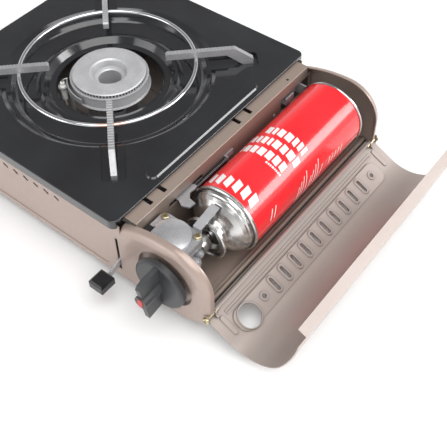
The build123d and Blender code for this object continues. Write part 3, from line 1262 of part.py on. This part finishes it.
nodes = build()
boxes = [shape.bounding_box() for shape in nodes.values()]
ORIGIN_X = (min(b.min.X for b in boxes) + max(b.max.X for b in boxes)) / 2
ORIGIN_Y = (min(b.min.Y for b in boxes) + max(b.max.Y for b in boxes)) / 2
os.makedirs("parts", exist_ok=True)
for name, shape in nodes.items():
    export_step(Pos(-ORIGIN_X, -ORIGIN_Y, 0) * shape, f"parts/{name}.step")
print("origin", ORIGIN_X, ORIGIN_Y)
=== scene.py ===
import math
import random

import bpy
from mathutils import Matrix, Vector


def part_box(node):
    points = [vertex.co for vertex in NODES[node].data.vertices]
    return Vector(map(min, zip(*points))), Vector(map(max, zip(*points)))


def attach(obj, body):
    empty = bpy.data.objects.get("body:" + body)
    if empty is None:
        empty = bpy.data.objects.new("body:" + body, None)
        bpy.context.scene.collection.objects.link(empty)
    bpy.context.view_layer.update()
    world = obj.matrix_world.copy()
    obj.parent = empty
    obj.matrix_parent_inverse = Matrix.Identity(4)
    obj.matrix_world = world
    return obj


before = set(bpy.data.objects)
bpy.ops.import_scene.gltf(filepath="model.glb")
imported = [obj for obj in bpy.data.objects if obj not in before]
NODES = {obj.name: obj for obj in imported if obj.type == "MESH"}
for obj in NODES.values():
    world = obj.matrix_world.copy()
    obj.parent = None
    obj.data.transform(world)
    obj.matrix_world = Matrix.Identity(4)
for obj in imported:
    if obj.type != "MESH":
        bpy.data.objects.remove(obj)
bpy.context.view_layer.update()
MM = 0.001


# ------------------------------------------------------------ where things are
def centre(node):
    low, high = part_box(node)
    return (low + high) / 2


HEAD = centre("burner_head")
BURNER = Vector((HEAD.x, HEAD.y, 0.0))      # burner axis on the table
CAN_LOW, CAN_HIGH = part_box("can_body")
CAN = centre("can_body")
CAN_R = (CAN_HIGH.z - CAN_LOW.z) / 2
RING = centre("pan_ring")
RING_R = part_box("pan_ring")[1].x - RING.x
RING_FRONT = RING + RING_R * Vector((math.sqrt(0.5), -math.sqrt(0.5), 0.0))


# ------------------------------------------------------------ material helpers
EVEN = (1, 1, 1)                            # a pattern with no stretched axis


def shade(colour, factor, lift=0.0):
    return tuple(min(1.0, c * factor + lift) for c in colour)


class Tree:
    """A material's node tree with short calls for what the finishes share."""

    def __init__(self, name):
        self.material = bpy.data.materials.new(name)
        self.material.use_nodes = True
        self.nodes = self.material.node_tree.nodes
        self.links = self.material.node_tree.links
        self.shader = self.nodes["Principled BSDF"]
        self.place = self.nodes.new("ShaderNodeTexCoord").outputs["Object"]

    def link(self, source, target):
        self.links.new(source, target)

    def mapped(self, stretch):
        node = self.nodes.new("ShaderNodeMapping")
        node.inputs["Scale"].default_value = stretch
        self.link(self.place, node.inputs["Vector"])
        return node.outputs["Vector"]

    def noise(self, scale, detail=3.0, rough=0.55, stretch=EVEN, distortion=0.0):
        node = self.nodes.new("ShaderNodeTexNoise")
        node.inputs["Scale"].default_value = scale
        node.inputs["Detail"].default_value = detail
        node.inputs["Roughness"].default_value = rough
        node.inputs["Distortion"].default_value = distortion
        self.link(self.mapped(stretch), node.inputs["Vector"])
        return node.outputs["Fac"]

    def cells(self, scale):
        """Distance from the nearest of many scattered points."""
        node = self.nodes.new("ShaderNodeTexVoronoi")
        node.inputs["Scale"].default_value = scale
        self.link(self.mapped(EVEN), node.inputs["Vector"])
        return node.outputs["Distance"]

    def remap(self, source, a, b, low=0.0, high=1.0):
        node = self.nodes.new("ShaderNodeMapRange")
        node.inputs["From Min"].default_value = a
        node.inputs["From Max"].default_value = b
        node.inputs["To Min"].default_value = low
        node.inputs["To Max"].default_value = high
        self.link(source, node.inputs["Value"])
        return node.outputs["Result"]

    def math(self, kind, a, b):
        node = self.nodes.new("ShaderNodeMath")
        node.operation = kind
        for socket, value in zip(node.inputs, (a, b)):
            if isinstance(value, (int, float)):
                socket.default_value = value
            else:
                self.link(value, socket)
        return node.outputs["Value"]

    def mix(self, factor, a, b):
        """Colour a where the factor is 0, colour b where it is 1."""
        node = self.nodes.new("ShaderNodeMix")
        node.data_type = "RGBA"
        node.blend_type = "MIX"
        self.link(factor, node.inputs["Factor"])
        for socket, value in ((node.inputs["A"], a), (node.inputs["B"], b)):
            if isinstance(value, tuple):
                socket.default_value = (*value, 1.0)
            else:
                self.link(value, socket)
        return node.outputs["Result"]

    def cavity(self, reach):
        """1 in the open, towards 0 in corners and gaps: the mask the finishes use for painted shade."""
        node = self.nodes.new("ShaderNodeAmbientOcclusion")
        node.samples = 4
        node.inputs["Distance"].default_value = reach
        return node.outputs["AO"]

    def near(self, point, inner, outer):
        """1 within the inner distance of a point, 0 beyond the outer one."""
        node = self.nodes.new("ShaderNodeVectorMath")
        node.operation = "DISTANCE"
        self.link(self.place, node.inputs[0])
        node.inputs[1].default_value = point
        return self.remap(node.outputs["Value"], inner, outer, 1.0, 0.0)

    def bump(self, *layers):
        """Layers of (height, strength, distance in metres), finest last."""
        normal = None
        for height, strength, distance in layers:
            node = self.nodes.new("ShaderNodeBump")
            node.inputs["Strength"].default_value = strength
            node.inputs["Distance"].default_value = distance
            self.link(height, node.inputs["Height"])
            if normal:
                self.link(normal, node.inputs["Normal"])
            normal = node.outputs["Normal"]
        self.link(normal, self.shader.inputs["Normal"])

    def put(self, socket, value):
        target = self.shader.inputs[socket]
        if isinstance(value, (int, float)):
            target.default_value = value
        else:
            self.link(value, target)
        return self


# In each finish, noise scales are repeats per metre, and a remap's four numbers
# are where the pattern's range starts and ends and what those two become.
def paint(name, light, dark, rough=0.34, flake=0.5, gloss=0.25, hollow_shade=0.0):
    """Metallic stoving paint: fine flake, orange peel, painted shade in the corners,
    and, as strong as the last argument asks, painted shade in broad hollows too."""
    t = Tree(name)
    fleck = t.noise(5200, detail=2.0)
    cloud = t.noise(9, detail=4.0)
    base = t.mix(t.remap(cloud, 0.3, 0.7, 0.0, 0.35), light, dark)
    base = t.mix(t.remap(fleck, 0.42, 0.68, 0.0, flake), base, shade(light, 1.5))
    # painted shade: darker paint in corners and gaps
    base = t.mix(t.remap(t.cavity(3 * MM), 0.3, 1.0, 0.75, 0.0), base, shade(dark, 0.3))
    # painted shade: darker paint in broad hollows, as strong as asked
    if hollow_shade:
        base = t.mix(t.remap(t.cavity(50 * MM), 0.3, 0.95, hollow_shade, 0.0), base, shade(dark, 0.35))
    t.put("Base Color", base).put("Metallic", 0.35)
    scuff = t.noise(260, detail=5.0, rough=0.7, distortion=0.8)
    t.put("Roughness", t.remap(scuff, 0.3, 0.75, rough - 0.06, rough + 0.12))
    t.put("Coat Weight", gloss).put("Coat Roughness", 0.12)
    t.bump((t.noise(420, detail=2.0), 0.12, 0.12 * MM), (fleck, 0.05, 0.03 * MM))
    return t.material


def enamel(name, light, dark, dust):
    """Glossy vitreous enamel with a soft orange peel, dust and faint wipe marks."""
    t = Tree(name)
    cloud = t.noise(12, detail=4.0)
    base = t.mix(t.remap(cloud, 0.35, 0.7), dark, light)
    base = t.mix(t.remap(t.cells(900), 0.0, 0.10, 0.35, 0.0), base, dust)
    t.put("Base Color", base)
    wipe = t.noise(60, detail=5.0, rough=0.65, stretch=(1, 5, 1), distortion=1.2)
    t.put("Roughness", t.remap(wipe, 0.35, 0.8, 0.10, 0.27))
    t.put("Coat Weight", 0.6).put("Coat Roughness", 0.07).put("Specular IOR Level", 0.6)
    t.bump((t.noise(240, detail=2.0), 0.10, 0.2 * MM), (t.noise(900, detail=2.0), 0.06, 0.05 * MM))
    return t.material


HEAT_COLOUR = (0.62, 0.33, 0.24)
HEAT_INNER = 9 * MM
HEAT_OUTER = 17 * MM


def metal(
    name, light, dark, rough=0.28, stretch=EVEN, grain=900, depth=0.04 * MM, spots=0.25,
    heat=None, metallic=1.0,
):
    """Bare or plated metal: a grain that is finer along the stretched axis, smudges,
    painted shade in the corners, and a heat tint about the point heat."""
    t = Tree(name)
    streak = t.noise(grain, detail=4.0, rough=0.6, stretch=stretch)
    cloud = t.noise(40, detail=5.0, rough=0.6)
    base = t.mix(t.remap(streak, 0.3, 0.7), light, dark)
    base = t.mix(t.remap(cloud, 0.45, 0.75, 0.0, spots), base, shade(dark, 0.55))
    # painted shade: darker metal in corners and gaps
    base = t.mix(t.remap(t.cavity(4 * MM), 0.0, 1.0, 0.5, 0.0), base, shade(dark, 0.25))
    if heat is not None:
        tint = t.math("MULTIPLY", t.near(heat, HEAT_INNER, HEAT_OUTER), 0.75)
        base = t.mix(tint, base, HEAT_COLOUR)
    t.put("Base Color", base).put("Metallic", metallic)
    smudge = t.noise(130, detail=4.0, rough=0.6, distortion=0.6)
    smudged = t.remap(smudge, 0.3, 0.75, -0.04, 0.10)
    brushed = t.remap(streak, 0.3, 0.7, rough - 0.04, rough + 0.05)
    t.put("Roughness", t.math("ADD", smudged, brushed))
    t.bump((streak, 0.25, depth), (t.noise(2600, detail=2.0), 0.08, 0.02 * MM))
    return t.material


def cast(name, light, dark, rough=0.5, pit=0.12 * MM, corner_shade=0.6, metallic=0.85):
    """Die-cast alloy: a fine sandy skin, with painted shade in the corners."""
    t = Tree(name)
    sand = t.noise(1500, detail=4.0, rough=0.7)
    cloud = t.noise(70, detail=4.0, rough=0.6)
    base = t.mix(t.remap(cloud, 0.35, 0.7), light, dark)
    base = t.mix(t.remap(sand, 0.25, 0.45, 0.5, 0.0), base, shade(dark, 0.4))
    # painted shade: darker alloy in corners and gaps, as strong as asked
    base = t.mix(t.remap(t.cavity(4 * MM), 0.0, 1.0, corner_shade, 0.0), base, shade(dark, 0.1))
    t.put("Base Color", base).put("Metallic", metallic)
    t.put("Roughness", t.remap(sand, 0.25, 0.8, rough + 0.1, rough - 0.1))
    t.bump((cloud, 0.10, 0.3 * MM), (sand, 0.35, pit))
    return t.material


def plastic(name, light, dark, rough=0.42, grain=2200, depth=0.05 * MM):
    """Moulded plastic, rubber or ceramic with a fine even grain, rubbed patches and painted shade in
    the corners.
    """
    t = Tree(name)
    fine = t.noise(grain, detail=3.0, rough=0.6)
    rubbed = t.noise(55, detail=5.0, rough=0.6)
    base = t.mix(t.remap(rubbed, 0.4, 0.7), dark, light)
    # painted shade: darker in corners and gaps
    base = t.mix(t.remap(t.cavity(3 * MM), 0.0, 1.0, 0.4, 0.0), base, shade(dark, 0.5))
    t.put("Base Color", base)
    t.put("Roughness", t.remap(rubbed, 0.35, 0.75, rough - 0.08, rough + 0.08))
    t.bump((fine, 0.2, depth), (rubbed, 0.05, 0.1 * MM))
    return t.material


def printed(name, light, dark, rough=0.16):
    """Lithographed tinplate under clear varnish."""
    t = Tree(name)
    dots = t.noise(2400, detail=2.0)
    cloud = t.noise(18, detail=4.0)
    base = t.mix(t.remap(cloud, 0.35, 0.7), light, dark)
    base = t.mix(t.remap(dots, 0.45, 0.7, 0.0, 0.12), base, shade(light, 1.25, 0.02))
    t.put("Base Color", base)
    scuff = t.noise(170, detail=5.0, rough=0.65, stretch=(1, 3, 1), distortion=0.7)
    t.put("Roughness", t.remap(scuff, 0.4, 0.8, rough, rough + 0.16))
    t.put("Coat Weight", 0.5).put("Coat Roughness", 0.05)
    t.bump((t.noise(35, detail=3.0), 0.05, 0.4 * MM), (t.noise(800, detail=2.0), 0.05, 0.04 * MM))
    return t.material


# ------------------------------------------------------------ finishes
PAINT = paint("champagne_paint", (0.395, 0.307, 0.268), (0.325, 0.243, 0.206))
# The body's champagne paint made lighter for the cover, sill and tray: painted light, with painted
# shade in broad hollows.
PAINT_LIT_COPY = paint(
    "champagne_paint_lit_copy", (0.46, 0.400, 0.370), (0.37, 0.30, 0.268),
    rough=0.42, flake=0.35, gloss=0.12, hollow_shade=0.45,
)
# The body's champagne paint made darker for the partition wall and bay floor: painted shade, with more
# in broad hollows.
PAINT_SHADED_COPY = paint(
    "champagne_paint_shaded_copy", (0.33, 0.262, 0.222), (0.27, 0.205, 0.17),
    rough=0.40, flake=0.35, gloss=0.15, hollow_shade=0.3,
)
ENAMEL = enamel("black_enamel", (0.020, 0.021, 0.024), (0.010, 0.010, 0.012), dust=(0.10, 0.10, 0.11))
CHROME = metal(
    "ring_chrome_finish", (0.88, 0.88, 0.90), (0.78, 0.78, 0.80),
    rough=0.10, grain=300, depth=0.01 * MM, spots=0.05, heat=RING_FRONT,
)
ARM = metal(
    "arm_finish", (0.50, 0.50, 0.51), (0.40, 0.40, 0.41),
    rough=0.46, grain=700, depth=0.06 * MM, spots=0.3, metallic=0.6,
)
# the burner cap gets strong painted shade in its ports and corners
BURNER_ALLOY = cast(
    "burner_alloy_finish", (0.62, 0.62, 0.63), (0.50, 0.50, 0.51),
    rough=0.46, pit=0.08 * MM, corner_shade=0.95, metallic=0.5,
)
BURNER_SKIRT = metal(
    "burner_skirt_finish", (0.62, 0.62, 0.63), (0.46, 0.46, 0.47),
    rough=0.34, stretch=(1, 1, 9), grain=500, metallic=0.3,
)
ZINC = metal(
    "zinc_finish", (0.60, 0.60, 0.62), (0.46, 0.46, 0.48),
    rough=0.34, stretch=(1, 6, 1), grain=420, metallic=0.55,
)
GOVERNOR = cast(
    "governor_alloy_finish", (0.56, 0.57, 0.58), (0.42, 0.43, 0.44), rough=0.40, metallic=0.7,
)
GOVERNOR_CAP = cast(
    "governor_cap_finish", (0.70, 0.70, 0.72), (0.56, 0.56, 0.58),
    rough=0.30, pit=0.06 * MM, metallic=0.75,
)
DARK_STEEL = metal("spring_steel_finish", (0.30, 0.30, 0.31), (0.18, 0.18, 0.19), rough=0.34)
NICKEL = metal("nickel_finish", (0.58, 0.57, 0.55), (0.44, 0.43, 0.42), rough=0.30)
BRASS = metal("brass_finish", (0.80, 0.60, 0.30), (0.62, 0.44, 0.20), rough=0.30, grain=600)
YELLOW_ZINC = metal("yellow_zinc_finish", (0.70, 0.61, 0.44), (0.56, 0.48, 0.28), grain=500)
TINPLATE = metal(
    "tinplate_finish", (0.74, 0.73, 0.72), (0.60, 0.59, 0.58),
    rough=0.20, grain=2400, depth=0.008 * MM, spots=0.1,
)
CERAMIC = plastic("ceramic_finish", (0.88, 0.87, 0.84), (0.78, 0.77, 0.73), rough=0.2)
SPARK = metal("spark_finish", (0.6, 0.6, 0.6), (0.35, 0.33, 0.32), rough=0.35)
RUBBER = plastic(
    "rubber_finish", (0.035, 0.035, 0.035), (0.02, 0.02, 0.02),
    rough=0.7, grain=1200, depth=0.1 * MM,
)
SLEEVE = plastic("lead_sleeve_finish", (0.80, 0.79, 0.75), (0.66, 0.65, 0.6), rough=0.5)
BLACK = plastic("black_plastic_finish", (0.022, 0.022, 0.024), (0.012, 0.012, 0.013), rough=0.34)
KNOB = plastic("knob_plastic_finish", (0.060, 0.062, 0.066), (0.038, 0.039, 0.042), rough=0.40)
RED = plastic("red_plastic_finish", (0.62, 0.030, 0.022), (0.48, 0.02, 0.015), rough=0.3)
CAN_RED = printed("can_red_print", (0.86, 0.022, 0.030), (0.76, 0.014, 0.020))
CAN_WHITE = printed("can_white_print", (0.86, 0.84, 0.83), (0.80, 0.78, 0.77), rough=0.2)

FINISH = {
    PAINT: ("front_panel", "rear_panel", "left_panel"),
    PAINT_LIT_COPY: ("side_sill", "base_tray", "cover_shell", "cover_ears"),
    PAINT_SHADED_COPY: ("partition_wall", "bay_floor"),
    ENAMEL: ("top_plate",),
    CHROME: ("pan_ring",),
    ARM: tuple(f"pan_arm_{k + 1}" for k in range(4)),
    BURNER_ALLOY: ("burner_cap",),
    BURNER_SKIRT: ("burner_head",),
    ZINC: (
        "burner_bracket", "mixing_tube", "electrode_bracket", "lever_arm", "lever_pin", "lever_bracket",
        "carriage_bar", "guide_pins", "front_hook", "rear_pusher", "spring_anchor",
        "guide_strip", "governor_spring", "governor_side_plugs", "valve_spindle", "burner_screws",
    ),
    GOVERNOR: ("governor_body",),
    GOVERNOR_CAP: ("governor_cap",),
    DARK_STEEL: ("return_spring",),
    NICKEL: ("gas_socket",),
    BRASS: ("gas_jet", "gas_pipe"),
    YELLOW_ZINC: ("governor_screws", "hinge_screws"),
    TINPLATE: ("can_dome", "can_base", "can_collar", "can_valve"),
    CERAMIC: ("electrode_ceramic",),
    SPARK: ("ignition_electrode",),
    RUBBER: ("rubber_feet", "socket_seal", "governor_diaphragm"),
    SLEEVE: ("ignition_lead",),
    BLACK: ("piezo_igniter", "lever_tip"),
    KNOB: ("knob_disc", "knob_grip"),
    RED: ("knob_indicator",),
    CAN_RED: ("can_body",),
}
for finish, names in FINISH.items():
    for name in names:
        slots = NODES[name].data.materials
        slots.clear()
        slots.append(finish)


# ------------------------------------------------------------ softened edges
SHARP_ANGLE = math.radians(32)              # edges that turn more than this are rounded
EDGE_WIDTHS = {
    "lever_tip": 0.9 * MM,
    "knob_grip": 0.8 * MM,
    "knob_disc": 0.3 * MM,
    "governor_cap": 0.5 * MM,
    "governor_body": 0.5 * MM,
    "top_plate": 0.5 * MM,
}
for name, width in EDGE_WIDTHS.items():
    bevel = NODES[name].modifiers.new("soft_edges", "BEVEL")
    bevel.width = width
    bevel.segments = 2
    bevel.limit_method = "ANGLE"
    bevel.angle_limit = SHARP_ANGLE
    bevel.harden_normals = True
    bevel.use_clamp_overlap = True


# ------------------------------------------------------------ printed label
# Plain marks with no letters. Along the can they are placed in mm from the front
# of its body, and round it in degrees, with 0 at the right and 90 at the top.
LABEL_STEP = 2.5                            # degrees between a patch's points
LABEL_R = CAN_R + 0.06 * MM                 # just proud of the can
DRAW = random.Random(5)


def on_can(along, degrees):
    angle = math.radians(degrees)
    return Vector((
        CAN.x + LABEL_R * math.cos(angle), CAN_LOW.y + along * MM, CAN.z + LABEL_R * math.sin(angle),
    ))


def label_row(name, start, height, spans, slant=0.0):
    """White patches that follow the can, one for each (from, to) span of degrees;
    slant shifts each patch along the can as it goes round."""
    verts, faces = [], []
    for a0, a1 in spans:
        steps = max(2, math.ceil(abs(a1 - a0) / LABEL_STEP))
        first = len(verts)
        for i in range(steps + 1):
            share = i / steps
            for along in (start, start + height):
                verts.append(on_can(along + slant * share, a0 + (a1 - a0) * share))
        for i in range(steps):
            a = first + 2 * i
            faces.append((a, a + 1, a + 3, a + 2))
    mesh = bpy.data.meshes.new(name)
    mesh.from_pydata(verts, [], faces)
    mesh.materials.append(CAN_WHITE)
    for polygon in mesh.polygons:
        polygon.use_smooth = True
    obj = bpy.data.objects.new(name, mesh)
    bpy.context.scene.collection.objects.link(obj)
    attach(obj, "carriage")


def dashes(a0, a1, short, long, gap):
    """Spans of drawn lengths from a0 to a1 with even gaps, like a line of print."""
    spans = []
    while a0 < a1:
        end = min(a1, a0 + DRAW.uniform(short, long))
        spans.append((a0, end))
        a0 = end + gap
    return spans


def ruled(name, count, start, pitch, height, slant, span):
    """Thin lines one after another along the can; span gives each one's degrees."""
    for k in range(count):
        label_row(f"{name}_{k + 1}", start + pitch * k, height, [span(k)], slant)


BAND_START = 47
BAND_PATCH = 11
BAND_PITCH = 15.5
band = [(BAND_START + BAND_PITCH * k, BAND_START + BAND_PATCH + BAND_PITCH * k) for k in range(6)]
label_row("print_band", 4, 11, band, slant=3)
LINE_HEIGHT = 9
LINES = ((50, 52, 140), (64, 43, 140), (78, 48, 126))      # start along the can, from and to round it
for k, (start, a0, a1) in enumerate(LINES):
    label_row(f"print_line_{k + 1}", start, LINE_HEIGHT, dashes(a0, a1, 5, 12, gap=3), slant=1.5)
label_row("print_small", 46.5, 2, dashes(50, 80, 2, 4, gap=1.2))
ruled(
    "print_stroke", 9, start=54, pitch=4.5, height=0.9, slant=7,
    span=lambda k: (-16 + 3 * (k % 3), 10 + 5 * (k % 4)),
)
ruled("print_fleck", 2, start=18, pitch=5, height=1.2, slant=5, span=lambda k: (4, 21))
ruled("print_tick", 5, start=106, pitch=5, height=0.9, slant=3, span=lambda k: (-3, 9))


# ------------------------------------------------------------ floor and light
FLOOR_SIZE = 6.0
LIGHTS = {
    "top": {"at": (0.9, -0.5, 2.3), "aim": (0.1, 0.0, 0.0), "size": (2.8, 2.8), "watts": 72},
    "rim": {"at": (1.3, 0.9, 0.75), "aim": (0.05, 0.0, 0.05), "size": (0.9, 0.6), "watts": 13},
    "front": {"at": (-0.9, -1.6, 0.9), "aim": (0.0, 0.0, 0.05), "size": (1.2, 0.9), "watts": 7},
}
SKY_FULL_BELOW, SKY_DIM_ABOVE = 0.10, 0.55      # height of a direction, 1 is straight up
SKY_FULL, SKY_DIM = 1.0, 0.26


def stage_floor():
    bpy.ops.mesh.primitive_plane_add(size=FLOOR_SIZE, location=(0, 0, 0))
    floor = bpy.context.object
    floor.name = "floor"
    t = Tree("pale_floor")
    t.put("Base Color", t.mix(t.remap(t.noise(3), 0.3, 0.7), (0.97, 0.97, 0.97), (0.95, 0.95, 0.95)))
    t.put("Roughness", 0.6)
    floor.data.materials.append(t.material)


def studio_world():
    """White all round near the horizon, dimmer towards the top."""
    world = bpy.data.worlds.new("studio")
    bpy.context.scene.world = world
    world.use_nodes = True
    sky = world.node_tree
    direction = sky.nodes.new("ShaderNodeTexCoord").outputs["Generated"]
    height = sky.nodes.new("ShaderNodeSeparateXYZ")
    sky.links.new(direction, height.inputs["Vector"])
    fade = sky.nodes.new("ShaderNodeMapRange")
    fade.inputs["From Min"].default_value = SKY_FULL_BELOW
    fade.inputs["From Max"].default_value = SKY_DIM_ABOVE
    fade.inputs["To Min"].default_value = SKY_FULL
    fade.inputs["To Max"].default_value = SKY_DIM
    sky.links.new(height.outputs["Z"], fade.inputs["Value"])
    sky.links.new(fade.outputs["Result"], sky.nodes["Background"].inputs["Strength"])
    sky.nodes["Background"].inputs["Color"].default_value = (1, 1, 1, 1)


def area_light(name, at, aim, size, watts):
    light = bpy.data.lights.new(name, "AREA")
    light.shape = "RECTANGLE"
    light.size, light.size_y = size
    light.energy = watts
    obj = bpy.data.objects.new(name, light)
    obj.location = at
    obj.rotation_euler = (Vector(aim) - Vector(at)).to_track_quat("-Z", "Y").to_euler()
    bpy.context.scene.collection.objects.link(obj)


stage_floor()
studio_world()
for name, light in LIGHTS.items():
    area_light(name, **light)


# ------------------------------------------------------------ camera
AZIMUTH = math.radians(38.95)               # the view heads this far from +Y towards -X
ELEVATION = math.radians(48.41)             # and this far down
ROLL = math.radians(-1.08)
AIM = BURNER + Vector((161.75, -42.72, 69.03)) * MM
DISTANCE = 0.6768
SENSOR_WIDTH = 36.0
LENS = 64.5608
SHIFT_X, SHIFT_Y = 0.01501, -0.07353        # shares of the frame's width


def make_camera():
    level = Vector((-math.sin(AZIMUTH), math.cos(AZIMUTH), 0.0))
    look = level * math.cos(ELEVATION) - Vector((0.0, 0.0, math.sin(ELEVATION)))
    right = Vector((math.cos(AZIMUTH), math.sin(AZIMUTH), 0.0))
    up = right.cross(look)
    rolled_right = right * math.cos(ROLL) + up * math.sin(ROLL)
    rolled_up = up * math.cos(ROLL) - right * math.sin(ROLL)
    lens = bpy.data.cameras.new("camera")
    lens.sensor_width = SENSOR_WIDTH
    lens.lens = LENS
    lens.shift_x = SHIFT_X
    lens.shift_y = SHIFT_Y
    lens.clip_start = 10 * MM
    lens.dof.use_dof = False
    camera = bpy.data.objects.new("camera", lens)
    turn = Matrix((rolled_right, rolled_up, -look)).transposed().to_4x4()
    camera.matrix_world = Matrix.Translation(AIM - look * DISTANCE) @ turn
    bpy.context.scene.collection.objects.link(camera)
    bpy.context.scene.camera = camera
    bpy.context.scene.view_settings.view_transform = "Standard"


make_camera()
